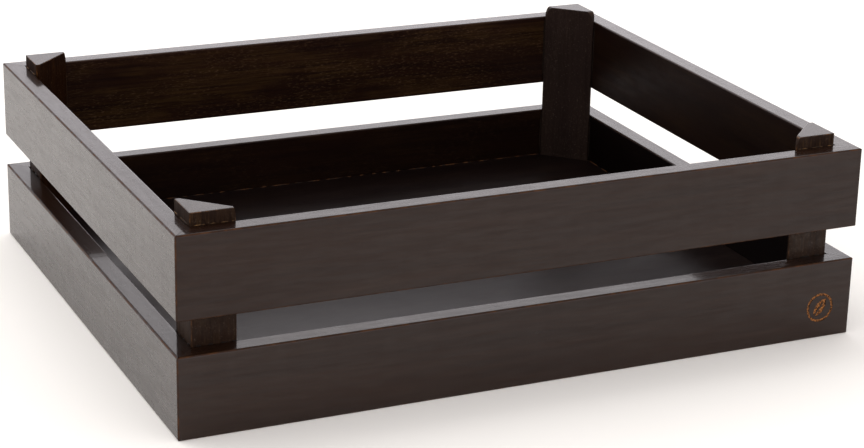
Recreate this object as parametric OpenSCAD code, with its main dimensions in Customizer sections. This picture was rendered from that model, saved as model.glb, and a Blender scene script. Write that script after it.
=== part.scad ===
// Low slatted stacking crate in dark stained wood.
// Two rings of mitred slats are joined by four three-cornered corner posts, and a panel closes the floor.
// Origin: centre of the crate's base. +X right along the front, +Y to the back, +Z up.

/* [Crate] */
// Outer width, along the front
crate_w = 350; // [250:1:560]
// Outer depth, from front to back
crate_d = 290; // [220:1:400]

/* [Slats] */
// Height of each slat
slat_h = 40; // [36:0.5:60]
// Thickness of each slat
slat_t = 10; // [9:0.5:16]
// Open gap between the lower and the upper ring
gap_h = 16.5; // [10:0.5:40]
// Radius of the eased long edges and outer corners
arris_r = 1; // [0.3:0.1:2]

/* [Corner posts] */
// Width of a post's two faces against the slats
post_leg = 21.5; // [21:0.5:30]
// Radius of the post's two thin vertical edges
post_edge_r = 1; // [0.5:0.1:2]
// Radius of the post's square vertical edge, which sits in the corner
post_corner_r = 0.8; // [0.3:0.1:2]
// Height of the post tips above the upper ring
tip_h = 6; // [3:0.5:7.5]
// Radius of the shoulders' long curve: both left posts, the front right post, the back right post
shoulder_r = [26, 16, 12]; // [10:1:60]
// Radius where a shoulder turns into the flat top, for the same posts
shoulder_top_r = [0.5, 1.5, 2]; // [0.5:0.5:3]
// Depth below the top at which a shoulder starts
shoulder_drop = 7; // [5:0.5:7.5]
// Radius of the eased edges around the flat top
post_top_r = 0.5; // [0.3:0.1:0.8]

/* [Floor panel] */
// Thickness of the panel
panel_t = 4; // [3:0.5:5]
// Height of the panel's underside, which leaves room for the tips of a crate below
panel_z = 8.5; // [8:0.5:10]
// Depth of the grooves that hold the panel's edges
groove_d = 4; // [2:0.5:5]
// Play above the panel, and beyond its edges, in the grooves
groove_play = 0.2; // [0.1:0.1:0.5]

/* [Hidden dowels] */
// Diameter of the dowels that join slats and posts
dowel_d = 6; // [4:1:6]
// Length of each dowel
dowel_len = 15; // [12:1:15]
// How far each dowel goes into its slat
dowel_in_slat = 6; // [6:0.5:7]
// Distance from the post's square edge to a dowel's axis
dowel_inset = 9; // [8:0.5:9.5]
// Height between the two dowels of one corner and one ring
dowel_stagger = 14; // [8:1:14]

/* [Engraved mark] */
// Outer radius of the ring engraved near the lower front slat's right end
mark_r = 7.5; // [4:0.5:12]
// Distance of the mark's centre from the right end
mark_inset = 17.5; // [14:0.5:40]
// Depth of the engraving
mark_depth = 0.3; // [0.2:0.1:1]

/* [Hidden] */
$fn = 48;

upper_z = slat_h + gap_h;
ring_top = upper_z + slat_h;
crate_h = ring_top + tip_h;
panel_top = panel_z + panel_t;
post_h = crate_h - panel_top;
inner_w = crate_w - 2 * slat_t;
inner_d = crate_d - 2 * slat_t;

// Rounding the thin 45 degree edges: distance from the sharp point to where the arc starts, and the sharp
// point itself along a leg
thin_tangent = post_edge_r / tan(22.5);
post_point = post_leg + thin_tangent - post_edge_r;
margin = 1;

// Heights of the dowels' mean level in the lower and in the upper ring
dowel_levels = [(panel_top + slat_h) / 2, upper_z + slat_h / 2];
dowel_tip = 0.5;

mark_z = 16;
mark_line = 1.2;
leaf_arc_r = 7;
leaf_half_w = 2.6;
leaf_tilt = 35;
vein_w = 0.8;

wood = "#3d342f";
inner_wood = "#2a201b";
dowel_wood = "#c8a878";

// ---- outlines ----

// Rectangle w by h with its lower left corner at the origin and rounded corners
module rounded_rect(w, h, r) {
    translate([r, 0]) square([w - 2 * r, h]);
    translate([0, r]) square([w, h - 2 * r]);
    for (x = [r, w - r], y = [r, h - r]) translate([x, y]) circle(r);
}

// Footprint of one slat of a ring: a trapezium with 45 degree mitres at its ends
module mitred_footprint(along, across) {
    reach = 2 * slat_t;
    intersection() {
        translate([-along / 2, -across / 2]) rounded_rect(along, across, arris_r);
        translate([0, -across / 2]) polygon([
            [-along / 2, 0], [along / 2, 0], [along / 2 - reach, reach], [-along / 2 + reach, reach]
        ]);
    }
}

// Footprint of a post: a right-angled triangle at the origin with all three edges eased
module post_footprint() {
    slant = post_edge_r / sqrt(2);
    polygon([
        [post_corner_r, 0],
        [post_point - thin_tangent, 0],
        [post_point - thin_tangent + slant, post_edge_r + slant],
        [post_edge_r + slant, post_point - thin_tangent + slant],
        [0, post_point - thin_tangent],
        [0, post_corner_r]
    ]);
    translate([post_corner_r, post_corner_r]) circle(post_corner_r);
    translate([post_point - thin_tangent, post_edge_r]) circle(post_edge_r);
    translate([post_edge_r, post_point - thin_tangent]) circle(post_edge_r);
}

// What to take off an upright's upper corner, which lies at [0, post_h], to ease it with radius r
module eased_corner(r) {
    difference() {
        translate([-2 * margin, post_h - r]) square([2 * margin + r, r + margin]);
        translate([r, post_h - r]) circle(r);
    }
}

// One leg of a post seen square on, with a shoulder at the thin edge: a long arc r and a short one top_r
module leg_outline(r, top_r) {
    rise = shoulder_drop - top_r;
    reach = r - top_r;
    top_centre = post_leg - r + sqrt(reach * reach - rise * rise);
    join_z = post_h - shoulder_drop + r * rise / reach;
    difference() {
        translate([-margin, 0]) square([post_leg + 2 * margin, post_h]);
        eased_corner(post_top_r);
        difference() {
            translate([post_leg - r, post_h - shoulder_drop])
                square([r + 2 * margin, shoulder_drop + margin]);
            translate([post_leg - r, post_h - shoulder_drop]) circle(r);
        }
        difference() {
            translate([top_centre, join_z])
                square([post_leg - top_centre + 2 * margin, post_h - join_z + margin]);
            translate([top_centre, post_h - top_r]) circle(top_r);
        }
    }
}

// A post seen along its wide face, which is on the right
module post_side_outline() {
    face = post_point / sqrt(2);
    difference() {
        translate([-margin, 0]) square([face + 2 * margin, post_h]);
        translate([face, 0]) mirror([1, 0]) eased_corner(post_top_r);
    }
}

// ---- placing ----

// Moves what is drawn for the front left corner, whose inner corner is the origin, to corner [sx, sy]
module at_corner(sx, sy) {
    mirror([sx > 0 ? 1 : 0, 0, 0]) mirror([0, sy > 0 ? 1 : 0, 0])
        translate([-inner_w / 2, -inner_d / 2, 0]) children();
}

// ---- dowels ----

// One dowel with tapered tips, lying along +Y, with the joint's face at the origin
module dowel() {
    rotate([-90, 0, 0]) translate([0, 0, -dowel_in_slat]) {
        cylinder(h = dowel_tip, d1 = dowel_d - 2 * dowel_tip, d2 = dowel_d);
        translate([0, 0, dowel_tip]) cylinder(h = dowel_len - 2 * dowel_tip, d = dowel_d);
        translate([0, 0, dowel_len - dowel_tip])
            cylinder(h = dowel_tip, d1 = dowel_d, d2 = dowel_d - 2 * dowel_tip);
    }
}

// The blind hole that a dowel fills, from one end to the other
module dowel_hole() {
    rotate([-90, 0, 0]) translate([0, 0, -dowel_in_slat]) cylinder(h = dowel_len, d = dowel_d);
}

// Repeats a dowel or its hole at one corner: two in each ring, one for each slat that meets there
module at_dowels() {
    for (level = dowel_levels) {
        translate([dowel_inset, 0, level + dowel_stagger / 2]) children();
        translate([0, dowel_inset, level - dowel_stagger / 2]) rotate([0, 0, -90]) children();
    }
}

module all_dowel_holes() {
    for (sx = [-1, 1], sy = [-1, 1]) at_corner(sx, sy) at_dowels() dowel_hole();
}

module corner_dowels(sx, sy) {
    color(dowel_wood) at_corner(sx, sy) at_dowels() dowel();
}

// ---- slats ----

// A slat of a ring that is along wide and across deep, drawn as the ring's front slat
module mitred_slat(along, across) {
    intersection() {
        translate([-along / 2, -across / 2, 0]) rotate([90, 0, 90])
            linear_extrude(along) rounded_rect(slat_t, slat_h, arris_r);
        linear_extrude(slat_h) mitred_footprint(along, across);
    }
}

// The groove in a lower slat's inner face that holds the panel's edge
module panel_groove(along, across) {
    translate([-along / 2, -across / 2 + slat_t - groove_d, panel_z])
        cube([along, groove_d + 1, panel_t + groove_play]);
}

// Slats face out on side 0 front, 1 right, 2 back, 3 left
module ring_slat(side, z, grooved) {
    along = side % 2 == 0 ? crate_w : crate_d;
    across = side % 2 == 0 ? crate_d : crate_w;
    color(wood) difference() {
        translate([0, 0, z]) rotate([0, 0, 90 * side]) difference() {
            mitred_slat(along, across);
            if (grooved) panel_groove(along, across);
        }
        all_dowel_holes();
    }
}

// A plain round mark with a leaf in it, cut into the outer face
module engraved_mark() {
    arc_x = leaf_arc_r - leaf_half_w;
    translate([crate_w / 2 - mark_inset, -crate_d / 2 + mark_depth, mark_z]) rotate([90, 0, 0])
        linear_extrude(mark_depth + 1) {
            difference() {
                circle(mark_r);
                circle(mark_r - mark_line);
            }
            rotate(-leaf_tilt) difference() {
                intersection() {
                    translate([-arc_x, 0]) circle(leaf_arc_r);
                    translate([arc_x, 0]) circle(leaf_arc_r);
                }
                translate([-vein_w / 2, -leaf_arc_r]) square([vein_w, 1.4 * leaf_arc_r]);
            }
        }
}

module lower_front_slat() {
    difference() {
        ring_slat(0, 0, true);
        engraved_mark();
    }
}
module lower_right_slat() { ring_slat(1, 0, true); }
module lower_back_slat() { ring_slat(2, 0, true); }
module lower_left_slat() { ring_slat(3, 0, true); }
module upper_front_slat() { ring_slat(0, upper_z, false); }
module upper_right_slat() { ring_slat(1, upper_z, false); }
module upper_back_slat() { ring_slat(2, upper_z, false); }
module upper_left_slat() { ring_slat(3, upper_z, false); }

// ---- posts ----

// A leg's outline, which lies along +X, carried right through the post
module leg_slab(r, top_r) {
    rotate([90, 0, 0]) translate([0, 0, -2 * post_leg])
        linear_extrude(2 * post_leg + margin) leg_outline(r, top_r);
}

// A post stands on the panel, in the inner corner of both rings, and its wide face looks inwards.
// Its shoulders are number wear in the lists above.
module corner_post(sx, sy, wear) {
    r = shoulder_r[wear];
    top_r = shoulder_top_r[wear];
    color(inner_wood) at_corner(sx, sy) difference() {
        translate([0, 0, panel_top]) intersection() {
            linear_extrude(post_h) post_footprint();
            leg_slab(r, top_r);
            mirror([1, -1, 0]) leg_slab(r, top_r);
            rotate([90, 0, 45]) translate([0, 0, -post_leg])
                linear_extrude(2 * post_leg) post_side_outline();
        }
        at_dowels() dowel_hole();
    }
}

module front_left_post() { corner_post(-1, -1, 0); }
module front_right_post() { corner_post(1, -1, 1); }
module back_left_post() { corner_post(-1, 1, 0); }
module back_right_post() { corner_post(1, 1, 2); }

module front_left_dowels() { corner_dowels(-1, -1); }
module front_right_dowels() { corner_dowels(1, -1); }
module back_left_dowels() { corner_dowels(-1, 1); }
module back_right_dowels() { corner_dowels(1, 1); }

// ---- floor ----

// The panel's edges sit in the lower slats' grooves
module floor_panel() {
    tongue = groove_d - groove_play;
    color(inner_wood) translate([-inner_w / 2 - tongue, -inner_d / 2 - tongue, panel_z])
        cube([inner_w + 2 * tongue, inner_d + 2 * tongue, panel_t]);
}

lower_front_slat();
lower_back_slat();
lower_left_slat();
lower_right_slat();
upper_front_slat();
upper_back_slat();
upper_left_slat();
upper_right_slat();
front_left_post();
front_right_post();
back_left_post();
back_right_post();
floor_panel();
front_left_dowels();
front_right_dowels();
back_left_dowels();
back_right_dowels();
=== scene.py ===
import math
import random

import bpy
from mathutils import Matrix, Vector


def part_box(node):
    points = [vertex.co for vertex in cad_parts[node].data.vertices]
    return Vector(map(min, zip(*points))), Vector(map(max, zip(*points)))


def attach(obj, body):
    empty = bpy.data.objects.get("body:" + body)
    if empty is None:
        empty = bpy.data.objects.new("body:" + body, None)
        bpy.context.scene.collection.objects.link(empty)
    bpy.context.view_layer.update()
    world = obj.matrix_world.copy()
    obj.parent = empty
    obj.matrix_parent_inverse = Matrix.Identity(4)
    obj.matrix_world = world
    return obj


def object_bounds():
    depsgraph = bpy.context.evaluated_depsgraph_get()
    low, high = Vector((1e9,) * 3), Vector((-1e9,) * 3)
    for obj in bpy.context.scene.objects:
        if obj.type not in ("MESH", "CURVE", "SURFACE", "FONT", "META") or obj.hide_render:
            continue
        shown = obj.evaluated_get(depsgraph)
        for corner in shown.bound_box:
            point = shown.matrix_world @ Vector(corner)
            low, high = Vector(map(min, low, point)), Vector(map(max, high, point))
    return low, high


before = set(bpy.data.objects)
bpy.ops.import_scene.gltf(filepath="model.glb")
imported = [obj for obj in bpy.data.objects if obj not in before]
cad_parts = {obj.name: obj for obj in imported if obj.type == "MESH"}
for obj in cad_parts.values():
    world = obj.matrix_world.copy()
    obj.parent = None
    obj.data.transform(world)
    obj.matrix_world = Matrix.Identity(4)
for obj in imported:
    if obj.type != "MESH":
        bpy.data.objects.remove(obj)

# Dark stained slatted crate. The CAD pieces keep their shape and get procedural wood. Glue and lacquer
# lines along the joints are added. Lengths are in metres, with +X right, +Y back and +Z up.

BODY = "root"
MM = 0.001
UP = Vector((0, 0, 1))

cad_low, cad_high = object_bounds()
SIDES = {
    "front": Vector((0, -1, 0)),
    "back": Vector((0, 1, 0)),
    "left": Vector((-1, 0, 0)),
    "right": Vector((1, 0, 0)),
}
RINGS = ("lower", "upper")
CORNERS = [(depth, side) for depth in ("front", "back") for side in ("left", "right")]

# Sizes read off the frame: the slats' outer and inner faces, the levels of the rings and of the panel's top
slat_low, slat_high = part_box("upper_front_slat")
slat_t = slat_high.y - slat_low.y
half_w = cad_high.x
half_d = cad_high.y
inner_w = half_w - slat_t
inner_d = half_d - slat_t
panel_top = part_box("floor_panel")[1].z
lower_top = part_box("lower_front_slat")[1].z
upper_low = slat_low.z
upper_top = slat_high.z
post_low, post_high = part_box("front_left_post")
post_leg = post_high.x - post_low.x


# ---- camera ----

CAMERA_PLACE = Vector((-0.468, -1.0466, 0.4404))
CAMERA_AZIMUTH = 24.65          # degrees right of +Y
CAMERA_ELEVATION = 19.62        # degrees down
CAMERA_ROLL = 1.28              # degrees, which lift its right side
CAMERA_LENS = 97.8              # millimetres
CAMERA_SENSOR = 36              # millimetres wide


def look_matrix(place, azimuth, elevation, roll):
    """The matrix of a camera at a place, from its angles in degrees."""
    a, e, r = (math.radians(v) for v in (azimuth, elevation, roll))
    forward = Vector((math.sin(a) * math.cos(e), math.cos(a) * math.cos(e), -math.sin(e)))
    right = forward.cross(UP).normalized()
    up = right.cross(forward)
    tilted = right * math.cos(r) + up * math.sin(r)
    up = tilted.cross(forward)
    matrix = Matrix((tilted, up, -forward)).transposed().to_4x4()
    matrix.translation = place
    return matrix


def make_camera():
    data = bpy.data.cameras.new("camera")
    data.sensor_width = CAMERA_SENSOR
    data.lens = CAMERA_LENS
    data.clip_start = 0.05
    data.clip_end = 60
    camera = bpy.data.objects.new("camera", data)
    bpy.context.scene.collection.objects.link(camera)
    camera.matrix_world = look_matrix(CAMERA_PLACE, CAMERA_AZIMUTH, CAMERA_ELEVATION, CAMERA_ROLL)
    bpy.context.scene.camera = camera


# ---- shader graphs ----

class Graph:
    """One material's nodes. Most calls add nodes and return an output socket."""

    def __init__(self, name):
        self.material = bpy.data.materials.new(name)
        self.material.use_nodes = True
        self.tree = self.material.node_tree
        self.tree.nodes.clear()
        self.surface = self.add("ShaderNodeBsdfPrincipled")
        output = self.add("ShaderNodeOutputMaterial")
        self.tree.links.new(self.surface.outputs["BSDF"], output.inputs["Surface"])
        place = self.add("ShaderNodeTexCoord")
        self.spot = place.outputs["Object"]
        self.normal = place.outputs["Normal"]

    def add(self, kind, **settings):
        node = self.tree.nodes.new(kind)
        for key, value in settings.items():
            setattr(node, key, value)
        return node

    def feed(self, socket, value):
        """Links a socket to another node's output, or sets it to a plain value."""
        if isinstance(value, bpy.types.NodeSocket):
            self.tree.links.new(value, socket)
        else:
            socket.default_value = value

    def shade(self, **inputs):
        """Sets the surface shader's inputs by name, with an underscore for each space."""
        for key, value in inputs.items():
            self.feed(self.surface.inputs[key.replace("_", " ")], value)

    def math(self, operation, a, b=0.0, c=0.0):
        node = self.add("ShaderNodeMath", operation=operation)
        for socket, value in zip(node.inputs, (a, b, c)):
            self.feed(socket, value)
        return node.outputs[0]

    def times(self, first, *others):
        """The product of two or more values."""
        product = first
        for other in others:
            product = self.math("MULTIPLY", product, other)
        return product

    def line(self, value, slope, start):
        """The value times slope, plus start."""
        return self.math("MULTIPLY_ADD", value, slope, start)

    def larger(self, a, b):
        return self.math("MAXIMUM", a, b)

    def without(self, mask):
        """1 where the mask is 0, and 0 where it is 1."""
        return self.math("SUBTRACT", 1.0, mask)

    def vector(self, operation, a, b=(0, 0, 0)):
        node = self.add("ShaderNodeVectorMath", operation=operation)
        self.feed(node.inputs[0], a)
        self.feed(node.inputs[1], b)
        return node.outputs["Value" if operation == "DOT_PRODUCT" else "Vector"]

    def split(self, vector):
        node = self.add("ShaderNodeSeparateXYZ")
        self.feed(node.inputs[0], vector)
        return node.outputs[0], node.outputs[1], node.outputs[2]

    def join(self, x, y, z):
        node = self.add("ShaderNodeCombineXYZ")
        for socket, value in zip(node.inputs, (x, y, z)):
            self.feed(socket, value)
        return node.outputs[0]

    def noise(self, vector, detail, roughness, distortion=0.0):
        node = self.add("ShaderNodeTexNoise")
        self.feed(node.inputs["Vector"], vector)
        settings = {"Scale": 1.0, "Detail": detail, "Roughness": roughness, "Distortion": distortion}
        for key, value in settings.items():
            node.inputs[key].default_value = value
        return node.outputs["Fac"]

    def cloud(self, waves, detail, roughness):
        """Noise with the same number of waves a metre in every direction."""
        return self.noise(self.vector("MULTIPLY", self.spot, (waves, waves, waves)), detail, roughness)

    def remap(self, value, low, high, to_low=0.0, to_high=1.0):
        """A smooth step from to_low at low to to_high at high."""
        node = self.add("ShaderNodeMapRange", interpolation_type="SMOOTHSTEP")
        for socket, number in zip(node.inputs, (value, low, high, to_low, to_high)):
            self.feed(socket, number)
        return node.outputs[0]

    def mix(self, amount, a, b):
        """Colour a where amount is 0 and colour b where it is 1."""
        node = self.add("ShaderNodeMix", data_type="RGBA")
        for name, value in (("Factor_Float", amount), ("A_Color", a), ("B_Color", b)):
            socket = next(s for s in node.inputs if s.identifier == name)
            self.feed(socket, value)
        return next(s for s in node.outputs if s.identifier == "Result_Color")

    def bump(self, height, distance, normal=None):
        node = self.add("ShaderNodeBump")
        node.inputs["Strength"].default_value = 1.0
        node.inputs["Distance"].default_value = distance
        self.feed(node.inputs["Height"], height)
        if normal is not None:
            self.feed(node.inputs["Normal"], normal)
        return node.outputs["Normal"]


# ---- wood ----

class Look:
    """The colours of one kind of wooden piece, as linear red, green and blue."""

    def __init__(self, dark, mid, glow, fleck, worn):
        self.dark = (*dark, 1)          # stain in the dense late wood
        self.mid = (*mid, 1)            # stain in the open early wood
        self.glow = (*glow, 1)          # golden haze where the stain is thin, also used as painted warm light and painted sheen
        self.fleck = (*fleck, 1)        # pale pores and ray flecks that the stain misses
        self.worn = (*worn, 1)          # rubbed edges


SLAT = Look((0.0050, 0.0017, 0.0008), (0.0170, 0.0066, 0.0028), (0.0360, 0.0180, 0.0055),
            (0.110, 0.062, 0.030), (0.095, 0.040, 0.017))
POST = Look((0.0080, 0.0032, 0.0016), (0.0190, 0.0090, 0.0048), (0.0500, 0.0270, 0.0110),
            (0.110, 0.080, 0.060), (0.110, 0.048, 0.018))
RUSSET_POST = Look((0.0046, 0.0014, 0.0005), (0.0130, 0.0042, 0.0013), (0.0420, 0.0170, 0.0050),
                   (0.110, 0.060, 0.030), (0.160, 0.066, 0.018))
# The back right post's greyer plum colours stand partly for painted sheen on its wide face
PLUM_SHEEN_POST = Look((0.0074, 0.0036, 0.0026), (0.0170, 0.0094, 0.0070), (0.0400, 0.0250, 0.0150),
                 (0.110, 0.080, 0.060), (0.030, 0.014, 0.008))
PANEL = Look((0.0036, 0.0019, 0.0016), (0.0080, 0.0043, 0.0036), (0.0140, 0.0080, 0.0050),
             (0.060, 0.040, 0.024), (0.090, 0.040, 0.015))
BEECH = Look((0.330, 0.200, 0.100), (0.520, 0.350, 0.190), (0.560, 0.400, 0.240),
             (0.300, 0.170, 0.080), (0.560, 0.400, 0.240))

# What the grain's tone comes to on average
MEAN_TONE = 0.68

# How openly the grain shows, up to 1 on bare wood: on the slats' outer faces, and how much more on their
# inner faces, where one slat took the stain more thinly than the rest
OUTER_GRAIN = 0.06
THINLY_STAINED = "upper_back_slat"
THIN_STAIN = 0.90
USUAL_STAIN = 0.35
POST_GRAIN = 0.25
PANEL_GRAIN = 0.40
BARE_GRAIN = 1.0

# How far the inner faces are darkened towards a plum black as painted shade, and on the slats where that
# painted shade is lighter or deeper
PAINTED_INNER_SHADE = (0.0008, 0.0004, 0.0004, 1)
USUAL_INNER_SHADE = 0.45
INNER_SHADE_BY_SLAT = {"upper_back_slat": 0.15, "upper_right_slat": 0.55, "lower_right_slat": 0.90}

# The sheen of the stained wood under the film, and its tint on slats and panel
SLAT_SHEEN = 0.050
PANEL_SHEEN = 0.10
POST_SHEEN = 0.06
RUSSET_SHEEN = 0.01
MAUVE = (1.0, 0.78, 0.92, 1)

# The lacquer film's gloss on each kind of piece
SLAT_COAT = {"Coat_Roughness": 0.08, "Coat_IOR": 1.43}
POST_COAT = {"Coat_Roughness": 0.24, "Coat_IOR": 1.38}
PANEL_COAT = {"Coat_Roughness": 0.22, "Coat_IOR": 1.35}

# How much of a slat the film covers, how much of that is missing on the front faces, and how much more is
# missing on the upper one, at its left end and further right
SLAT_FILM = 0.88
FRONT_LOSS = 0.09
UPPER_FRONT_LOSS = (0.22, 0.08)

# What is left of the film on the left slats at the front and at the back, and what covers the panel at the
# left and at the right
LEFT_SLAT_FILM = (1.0, 0.85)
PANEL_FILM = (0.46, 0.06)

# How much of a post the film covers where it is thin and where it is thick, the share of that on a post
# where it is thinner still, and how much covers the tops
POST_FILM = (0.18, 0.42)
POST_FILM_SHARE = {"front_left_post": 0.3}
POST_TOP_FILM = 0.95

# The posts whose colours differ from the rest; the back right one's plum grey is partly painted sheen
POST_LOOKS = {"back_left_post": RUSSET_POST, "back_right_post": PLUM_SHEEN_POST}

# The engraved mark: which slat it is on, its distance from the right end, its height, a little over its
# radius, and the two colours of its burnt floor
MARKED = "lower_front_slat"
MARK_INSET = 17.5 * MM
MARK_Z = 16 * MM
MARK_REACH = 8 * MM
CHAR = (0.024, 0.010, 0.005, 1)
OCHRE = (0.310, 0.125, 0.038, 1)

# Which of a piece's own X, Y and Z runs along the grain, and then the two across it
ALONG_X = (0, 1, 2)
ALONG_Y = (1, 0, 2)
ALONG_Z = (2, 0, 1)


class Wood(Graph):
    """A wooden piece's nodes, with noise that is stretched along its grain."""

    def __init__(self, name, look, order):
        super().__init__(name)
        self.look = look
        pick = random.Random(name)
        self.shift = tuple(pick.uniform(-40, 40) for _ in range(3))
        parts = self.split(self.spot)
        self.turned = self.join(*(parts[i] for i in order))

    def grain(self, along, across, detail=2.0, roughness=0.5, distortion=0.0):
        """Noise with so many waves a metre along and across the fibres, in its own place for each piece."""
        spot = self.vector("MULTIPLY", self.turned, (along, across, across))
        return self.noise(self.vector("ADD", spot, self.shift), detail, roughness, distortion)

    def facing(self, direction, low, high):
        """0 where the surface's normal is low or less along a direction, and 1 where it is high or more."""
        return self.remap(self.vector("DOT_PRODUCT", self.normal, tuple(direction)), low, high)

    def arris(self, faces=()):
        """1 on rounded edges, which lie between the axes' faces and those whose normals are given."""
        x, y, z = self.split(self.vector("ABSOLUTE", self.normal))
        flatness = self.larger(self.larger(x, y), z)
        for face in faces:
            flatness = self.larger(flatness, self.vector("DOT_PRODUCT", self.normal, tuple(face)))
        return self.remap(flatness, 0.82, 0.975, 1.0, 0.0)

    def stain(self, open_grain):
        """The stained colour before wear, the fibres' relief, and where the pale flecks are.

        open_grain is 1 where the finish is thin and shows them best.
        """
        fibres = self.grain(26, 900, 4.0, 0.62)
        streaks = self.grain(9, 330)
        figure = self.grain(5, 85, 3.0, 0.55, 0.8)
        relief = self.line(streaks, 0.6, fibres)
        tone = self.line(fibres, 0.45, self.times(streaks, 0.35))
        tone = self.line(figure, 0.55, tone)
        contrast = self.line(open_grain, 0.65, 0.35)
        tone = self.line(self.math("SUBTRACT", tone, MEAN_TONE), contrast, MEAN_TONE)
        colour = self.mix(self.remap(tone, 0.48, 0.88), self.look.dark, self.look.mid)
        haze = self.remap(self.grain(16, 75, 4.0, 0.65), 0.44, 0.66)
        haze = self.times(haze, self.remap(fibres, 0.38, 0.62, 0.2, 1.0), open_grain)
        colour = self.mix(self.times(haze, 0.75), colour, self.look.glow)
        flecks = self.remap(self.grain(400, 1700), 0.54, 0.70)
        flecks = self.times(flecks, self.remap(self.grain(22, 60), 0.36, 0.62), open_grain)
        colour = self.mix(self.times(flecks, 0.36), colour, self.look.fleck)
        return colour, relief, flecks

    def film_normal(self, ripple, peel):
        """The lacquer film's normal: waves from the planer across the grain, and a fine orange peel."""
        waves = self.grain(300, 18, 1.0)
        normal = self.bump(waves, ripple)
        return self.bump(self.cloud(700, 2.0, 0.6), peel, normal)


def mitre_line(wood, level):
    """1 along the hairline of the 45 degree joints that show on a ring's level faces."""
    x, y, z = wood.split(wood.vector("ABSOLUTE", wood.spot))
    off_line = wood.math("SUBTRACT", wood.math("SUBTRACT", x, y), half_w - half_d)
    near_line = wood.remap(wood.math("ABSOLUTE", off_line), 0.18 * MM, 0.40 * MM, 1.0, 0.0)
    off_level = wood.math("ABSOLUTE", wood.math("SUBTRACT", z, level))
    return wood.times(near_line, wood.remap(off_level, 0.2 * MM, 0.6 * MM, 1.0, 0.0))


def burnt_mark(wood):
    """The engraving's floor, which lies behind the front face: a mask, and a mottled ochre."""
    x, y, z = wood.split(wood.spot)
    off_x = wood.math("SUBTRACT", x, half_w - MARK_INSET)
    off_z = wood.math("SUBTRACT", z, MARK_Z)
    distance_squared = wood.line(off_x, off_x, wood.times(off_z, off_z))
    inside = wood.math("LESS_THAN", distance_squared, MARK_REACH ** 2)
    sunk = wood.math("GREATER_THAN", y, -half_d + 0.08 * MM)
    shallow = wood.math("LESS_THAN", y, -half_d + 1 * MM)
    colour = wood.mix(wood.remap(wood.cloud(1300, 3.0, 0.6), 0.44, 0.58), CHAR, OCHRE)
    return wood.times(inside, sunk, shallow), colour


def slat_film(wood, name, dull, outside):
    """How much of a slat the film covers. It is uneven, and leaves out what is dull."""
    x, y, z = wood.split(wood.spot)
    film = wood.times(wood.without(dull), SLAT_FILM)
    film = wood.times(film, wood.remap(wood.grain(40, 420, 3.0, 0.6), 0.3, 0.7, 0.89, 1.0))
    film = wood.times(film, wood.remap(wood.grain(350, 15), 0.35, 0.65, 0.95, 1.0))
    if "front" in name:
        brushed = wood.remap(wood.grain(60, 520, 4.0, 0.7), 0.34, 0.66, 0.85, 1.06)
        film = wood.times(film, wood.line(outside, -FRONT_LOSS, 1.0), brushed)
    if name == "upper_front_slat":
        loss = wood.remap(x, -half_w, -0.4 * half_w, *UPPER_FRONT_LOSS)
        film = wood.times(film, wood.without(wood.times(outside, loss)))
    if "left" in name:
        film = wood.times(film, wood.remap(y, -half_d, half_d, *LEFT_SLAT_FILM))
    return film


def slat_wood(name, order, outward, level):
    """Smooth lacquered slats, rubbed dull on their outer arrises, with painted shade on their inner faces
    and on the arrises that face right. The inner faces have no film.
    """
    wood = Wood(name + "_wood", SLAT, order)
    inner = wood.facing(-outward, 0.5, 0.9)
    outside = wood.facing(outward, 0.05, 0.35)
    arris = wood.arris()
    outer_arris = wood.times(arris, outside)
    # Painted shade on the rounded arrises that face right
    right_arris_shade = wood.times(arris, wood.facing((1, 0, 0), 0.25, 0.50))
    broken = wood.cloud(160, 3.0, 0.65)
    joint = wood.times(mitre_line(wood, level), wood.remap(broken, 0.35, 0.50, 0.4, 1.0))

    inner_grain = THIN_STAIN if name == THINLY_STAINED else USUAL_STAIN
    colour, relief, flecks = wood.stain(wood.line(inner, inner_grain, OUTER_GRAIN))
    # Painted shade: the inner faces darkened towards a plum black, more on the slats deeper in shade
    colour = wood.mix(wood.times(inner, INNER_SHADE_BY_SLAT.get(name, USUAL_INNER_SHADE)), colour, PAINTED_INNER_SHADE)
    rubbed = wood.times(arris, wood.remap(broken, 0.38, 0.66, 0.15, 1.0), wood.line(outside, 0.45, 0.15))
    colour = wood.mix(rubbed, colour, SLAT.worn)
    # Painted shade: the arrises that face right darkened to the dense stain's colour
    colour = wood.mix(right_arris_shade, colour, SLAT.dark)
    colour = wood.mix(wood.times(joint, 0.6), colour, SLAT.dark)

    dull = wood.times(outer_arris, wood.remap(broken, 0.30, 0.60, 0.35, 0.95))
    for mask in (right_arris_shade, wood.times(joint, 0.55), inner):
        dull = wood.larger(dull, mask)
    if name == MARKED:
        mark, burnt = burnt_mark(wood)
        colour = wood.mix(mark, colour, burnt)
        dull = wood.larger(dull, mark)
    # Painted light: a slight golden warmth on the front slats' outer faces only
    if "front" in name:
        colour = wood.mix(wood.times(outside, 0.05), colour, SLAT.glow)

    rough = wood.line(flecks, 0.2, wood.remap(wood.grain(90, 400), 0.3, 0.7, 0.36, 0.44))
    rough = wood.line(outer_arris, 0.3, rough)
    wood.shade(Base_Color=colour, Roughness=rough, Normal=wood.bump(relief, 0.02 * MM),
               Specular_IOR_Level=SLAT_SHEEN, Specular_Tint=MAUVE,
               Coat_Weight=slat_film(wood, name, dull, outside),
               Coat_Normal=wood.film_normal(0.022 * MM, 0.005 * MM), **SLAT_COAT)
    return wood


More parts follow.
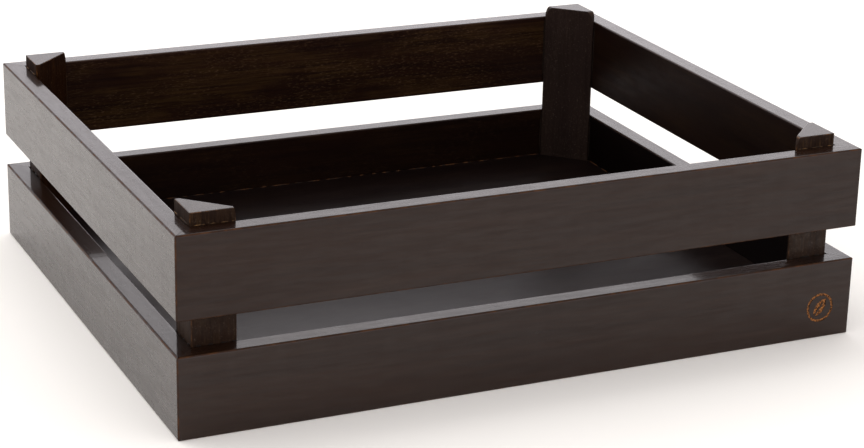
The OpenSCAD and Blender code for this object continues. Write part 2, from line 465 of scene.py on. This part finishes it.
def post_wood(name, wide_face):
    """Coarse sawn posts. The film is full on the tops, thin on the sides and missing on the wide faces."""
    look = POST_LOOKS.get(name, POST)
    wood = Wood(name + "_wood", look, ALONG_Z)
    on_top = wood.facing((0, 0, 1), 0.5, 0.9)
    wide = wood.facing(wide_face, 0.8, 0.95)
    tip = wood.remap(wood.split(wood.spot)[2], upper_top - 1 * MM, upper_top + 1 * MM)
    broken = wood.cloud(260, 3.0, 0.65)

    colour, relief, _ = wood.stain(POST_GRAIN)
    # Golden vertical streaks: partly sawing scratches and partly painted sheen, strongest on the tips above
    # the slats and faintest on the wide faces
    scratches_and_sheen = wood.remap(wood.grain(110, 1000, 3.0, 0.6), 0.50, 0.68)
    scratches_and_sheen = wood.times(scratches_and_sheen, wood.remap(wood.grain(130, 90), 0.35, 0.65, 0.2, 1.0))
    scratch_and_sheen_strength = wood.math("SUBTRACT", wood.line(tip, 0.35, 0.3), wood.times(wide, 0.26))
    colour = wood.mix(wood.times(scratches_and_sheen, scratch_and_sheen_strength), colour, look.glow)
    pits = wood.cloud(1100, 2.0, 0.6)
    colour = wood.mix(wood.remap(pits, 0.60, 0.74, 0.0, 0.30), colour, look.fleck)
    rubbed = wood.remap(broken, 0.42, 0.64, 0.05, wood.line(tip, 0.40, 0.45))
    colour = wood.mix(wood.times(wood.arris([wide_face]), rubbed), colour, look.worn)
    hollows = wood.remap(wood.grain(90, 700, 3.0, 0.6), 0.38, 0.52, 0.55, 0.0)
    colour = wood.mix(wood.times(hollows, tip), colour, look.dark)

    film = wood.times(wood.remap(broken, 0.35, 0.65, *POST_FILM), POST_FILM_SHARE.get(name, 1.0))
    film = wood.times(film, wood.without(wood.larger(wood.times(tip, 0.85), wide)))
    film = wood.larger(film, wood.times(on_top, POST_TOP_FILM))
    coarse = wood.bump(wood.line(scratches_and_sheen, 0.5, relief), 0.10 * MM)
    rough = wood.remap(wood.grain(40, 200, 3.0, 0.6), 0.3, 0.7, 0.55, 0.75)
    wood.shade(Base_Color=colour, Roughness=rough, Normal=wood.bump(pits, 0.05 * MM, coarse),
               Specular_IOR_Level=RUSSET_SHEEN if look is RUSSET_POST else POST_SHEEN,
               Coat_Weight=film, Coat_Normal=wood.film_normal(0.0, 0.03 * MM), **POST_COAT)
    return wood


def panel_wood():
    """The floor panel: fine even grain under a film that thins towards the right."""
    wood = Wood("floor_panel_wood", PANEL, ALONG_X)
    colour, relief, flecks = wood.stain(PANEL_GRAIN)
    rough = wood.remap(wood.grain(30, 60, 3.0, 0.6), 0.3, 0.7, 0.30, 0.40)
    film = wood.remap(wood.split(wood.spot)[0], -0.5 * half_w, 0.4 * half_w, *PANEL_FILM)
    wood.shade(Base_Color=colour, Roughness=wood.line(flecks, 0.1, rough),
               Normal=wood.bump(relief, 0.02 * MM), Specular_IOR_Level=PANEL_SHEEN, Specular_Tint=MAUVE,
               Coat_Weight=film, Coat_Normal=wood.film_normal(0.01 * MM, 0.003 * MM), **PANEL_COAT)
    return wood


def beech_wood():
    """Bare turned beech for the hidden dowels."""
    wood = Wood("dowel_beech", BEECH, ALONG_Z)
    colour, relief, _ = wood.stain(BARE_GRAIN)
    wood.shade(Base_Color=colour, Roughness=wood.remap(relief, 0.5, 1.1, 0.5, 0.75),
               Normal=wood.bump(relief, 0.05 * MM))
    return wood


def dress(node_name, graph):
    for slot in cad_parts[node_name].material_slots:
        slot.material = graph.material


def dress_all():
    for ring, level in zip(RINGS, (lower_top, upper_top)):
        for side, outward in SIDES.items():
            name = f"{ring}_{side}_slat"
            order = ALONG_X if side in ("front", "back") else ALONG_Y
            dress(name, slat_wood(name, order, outward, level))
    beech = beech_wood()
    for depth, side in CORNERS:
        name = f"{depth}_{side}_post"
        dress(name, post_wood(name, -(SIDES[depth] + SIDES[side]).normalized()))
        dress(f"{depth}_{side}_dowels", beech)
    dress("floor_panel", panel_wood())


# ---- glue and lacquer lines ----

# The beads' radius, the range of their lengths, and the longest gap between them
FLOOR_BEADS = (0.36 * MM, (2 * MM, 14 * MM), 5 * MM)
TIP_BEADS = (0.24 * MM, (2 * MM, 12 * MM), 2.5 * MM)
SEAM_BEADS = (0.35 * MM, (0, 0), 0)
LEDGE_BEADS = (0.42 * MM, (2 * MM, 6 * MM), 4 * MM)

# No bead is shorter than this, and each has a ring of points about every step along it
SHORTEST_BEAD = 1.5 * MM
BEAD_STEP = 1.2 * MM

# How far the lines stay from the ends of slats and of a post's legs, and how far from panel and posts
END_CLEARANCE = 1.5 * MM
SIDE_CLEARANCE = 0.5 * MM


def bead(vertices, faces, start, end, radius, pick, sides=8):
    """Adds one closed, slightly lumpy drop of glue drawn out from start to end."""
    along = end - start
    across = UP if abs(along.normalized().z) < 0.9 else Vector((1, 0, 0))
    u = along.cross(across).normalized()
    v = along.normalized().cross(u)
    rings = max(6, int(along.length / BEAD_STEP))
    first = len(vertices)
    for i in range(rings):
        t = (i + 0.5) / rings
        swell = min(1.0, 3.2 * min(t, 1 - t) + 0.25) * pick.uniform(0.78, 1.12)
        middle = start + along * t
        for k in range(sides):
            angle = 2 * math.pi * k / sides
            vertices.append(middle + (u * math.cos(angle) + v * math.sin(angle)) * radius * swell)
    for i in range(rings - 1):
        for k in range(sides):
            a = first + i * sides + k
            b = first + i * sides + (k + 1) % sides
            faces.append((a, a + sides, b + sides, b))
    for ring, tip, flip in ((0, start, False), (rings - 1, end, True)):
        centre = len(vertices)
        vertices.append(tip)
        base = first + ring * sides
        for k in range(sides):
            edge = (base + k, base + (k + 1) % sides)
            faces.append((centre, edge[1], edge[0]) if flip else (centre, edge[0], edge[1]))


def broken_line(vertices, faces, start, end, radius, run, gap, pick):
    """Beads of random length along a line, with random gaps between them. A gap of 0 makes one bead."""
    length = (end - start).length
    direction = (end - start) / length
    at = pick.uniform(0, gap)
    while at < length:
        stop = min(length, at + pick.uniform(*run)) if gap else length
        if stop - at > SHORTEST_BEAD:
            bead(vertices, faces, start + direction * at, start + direction * stop, radius, pick)
        at = stop + pick.uniform(0.3, 1.0) * gap if gap else length


def bead_piece(name, lines, beads, graph):
    """All the beads of one kind as one piece, riding on the crate."""
    pick = random.Random(name)
    vertices = []
    faces = []
    for start, end in lines:
        broken_line(vertices, faces, start, end, *beads, pick)
    mesh = bpy.data.meshes.new(name)
    mesh.from_pydata([tuple(v) for v in vertices], [], faces)
    mesh.validate()
    mesh.shade_smooth()
    mesh.materials.append(graph.material)
    piece = bpy.data.objects.new(name, mesh)
    bpy.context.scene.collection.objects.link(piece)
    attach(piece, BODY)


def glue_material(name, thin, thick, roughness):
    """Dried glue or lacquer that has taken the stain unevenly."""
    graph = Graph(name)
    lumps = graph.cloud(420, 3.0, 0.6)
    colour = graph.mix(graph.remap(lumps, 0.40, 0.62), (*thin, 1), (*thick, 1))
    gloss = graph.remap(lumps, 0.3, 0.7, roughness * 0.8, roughness * 1.2)
    graph.shade(Base_Color=colour, Roughness=gloss, Specular_IOR_Level=0.15,
                Normal=graph.bump(lumps, 0.08 * MM))
    return graph


def corner_frame(depth, side):
    """The inner corner of the rings at one post, and the directions of its two legs."""
    out = SIDES[depth] + SIDES[side]
    corner = Vector((out.x * inner_w, out.y * inner_d, 0))
    return corner, -SIDES[side], -SIDES[depth]


def panel_edge_lines():
    """Lines round the panel's top: across each post's wide face, and along the slats.

    The one along the right slat has only its back half.
    """
    lines = []
    for depth, side in CORNERS:
        corner, leg_x, leg_y = corner_frame(depth, side)
        ends = [corner + leg * (post_leg - END_CLEARANCE) + UP * panel_top for leg in (leg_x, leg_y)]
        lines.append(tuple(ends))
    x = inner_w - post_leg - SIDE_CLEARANCE
    y = inner_d - post_leg - SIDE_CLEARANCE
    for sign, near in ((-1, -y), (1, 0)):
        lines.append((Vector((-x, sign * inner_d, panel_top)), Vector((x, sign * inner_d, panel_top))))
        lines.append((Vector((sign * inner_w, near, panel_top)), Vector((sign * inner_w, y, panel_top))))
    return lines


def add_glue():
    tip_lines = []
    ledge_lines = []
    seam_lines = []
    for depth, side in CORNERS:
        corner, leg_x, leg_y = corner_frame(depth, side)
        for leg in (leg_x, leg_y):
            edge = corner + leg * post_leg
            tip_lines.append((corner + UP * upper_top, edge + UP * upper_top))
            ledge_lines.append((corner + UP * lower_top, edge + UP * lower_top))
            seam = edge + leg * 0.1 * MM
            for low, high in ((panel_top + SIDE_CLEARANCE, lower_top - END_CLEARANCE),
                              (upper_low + END_CLEARANCE, upper_top - END_CLEARANCE)):
                seam_lines.append((seam + UP * low, seam + UP * high))
    amber = glue_material("amber_glue", (0.010, 0.004, 0.0018), (0.070, 0.027, 0.008), 0.60)
    golden = glue_material("golden_glue", (0.020, 0.010, 0.004), (0.130, 0.070, 0.026), 0.55)
    lacquer = glue_material("pooled_lacquer", (0.006, 0.003, 0.0015), (0.012, 0.006, 0.003), 0.60)
    bead_piece("floor_glue_lines", panel_edge_lines(), FLOOR_BEADS, amber)
    bead_piece("tip_glue_lines", tip_lines, TIP_BEADS, golden)
    bead_piece("post_lacquer_seams", seam_lines, SEAM_BEADS, lacquer)
    bead_piece("ledge_lacquer_drops", ledge_lines, LEDGE_BEADS, lacquer)


# ---- studio ----

# How far the floor goes each way, and its colour
FLOOR_REACH = 8
FLOOR_COLOUR = (0.940, 0.914, 0.868, 1)

# The world's light changes between two heights, given as sines of the elevation. It is brighter and a little
# mauve at the lower one.
TENT_HEIGHTS = (0.15, 0.60)
TENT_STRENGTHS = (1.90, 1.0)
TENT_COLOURS = ((1.0, 0.945, 0.985, 1), (1.0, 0.985, 0.992, 1))

# The light above and behind the crate
OVERHEAD_PLACE = (-0.5, 0.9, 1.9)
OVERHEAD_SIZE = (1.8, 1.8)
OVERHEAD_RADIANCE = 1.7


def make_floor():
    r = FLOOR_REACH
    mesh = bpy.data.meshes.new("floor")
    mesh.from_pydata([(-r, -r, 0), (r, -r, 0), (r, r, 0), (-r, r, 0)], [], [(0, 1, 2, 3)])
    floor = bpy.data.objects.new("floor", mesh)
    bpy.context.scene.collection.objects.link(floor)
    graph = Graph("pale_floor")
    graph.shade(Base_Color=FLOOR_COLOUR, Roughness=0.9, Specular_IOR_Level=0.2)
    mesh.materials.append(graph.material)


def softbox(name, place, target, size, radiance):
    """A rectangular light that looks at target and is equally bright all over."""
    data = bpy.data.lights.new(name, "AREA")
    data.shape = "RECTANGLE"
    data.size, data.size_y = size
    data.energy = radiance * math.pi * size[0] * size[1]
    light = bpy.data.objects.new(name, data)
    bpy.context.scene.collection.objects.link(light)
    away = Vector(place) - Vector(target)
    light.matrix_world = Matrix.Translation(place) @ away.to_track_quat("Z", "Y").to_matrix().to_4x4()


def make_tent():
    """The world's light, which depends only on the height that it comes from."""
    world = bpy.data.worlds.new("light_tent")
    bpy.context.scene.world = world
    world.use_nodes = True
    tree = world.node_tree
    background = tree.nodes["Background"]
    direction = tree.nodes.new("ShaderNodeTexCoord")
    parts = tree.nodes.new("ShaderNodeSeparateXYZ")
    tree.links.new(direction.outputs["Generated"], parts.inputs[0])
    strength = tree.nodes.new("ShaderNodeMapRange")
    strength.interpolation_type = "SMOOTHSTEP"
    for name, value in zip(("From Min", "From Max", "To Min", "To Max"), TENT_HEIGHTS + TENT_STRENGTHS):
        strength.inputs[name].default_value = value
    tree.links.new(parts.outputs["Z"], strength.inputs["Value"])
    tree.links.new(strength.outputs[0], background.inputs["Strength"])
    tint = tree.nodes.new("ShaderNodeValToRGB")
    for element, height, colour in zip(tint.color_ramp.elements, TENT_HEIGHTS, TENT_COLOURS):
        element.position = height
        element.color = colour
    tree.links.new(parts.outputs["Z"], tint.inputs[0])
    tree.links.new(tint.outputs["Color"], background.inputs["Color"])


def make_lights():
    make_tent()
    softbox("overhead", OVERHEAD_PLACE, (0, 0, 0), OVERHEAD_SIZE, OVERHEAD_RADIANCE)
    bpy.context.scene.view_settings.view_transform = "Standard"


make_camera()
make_floor()
make_lights()
dress_all()
add_glue()
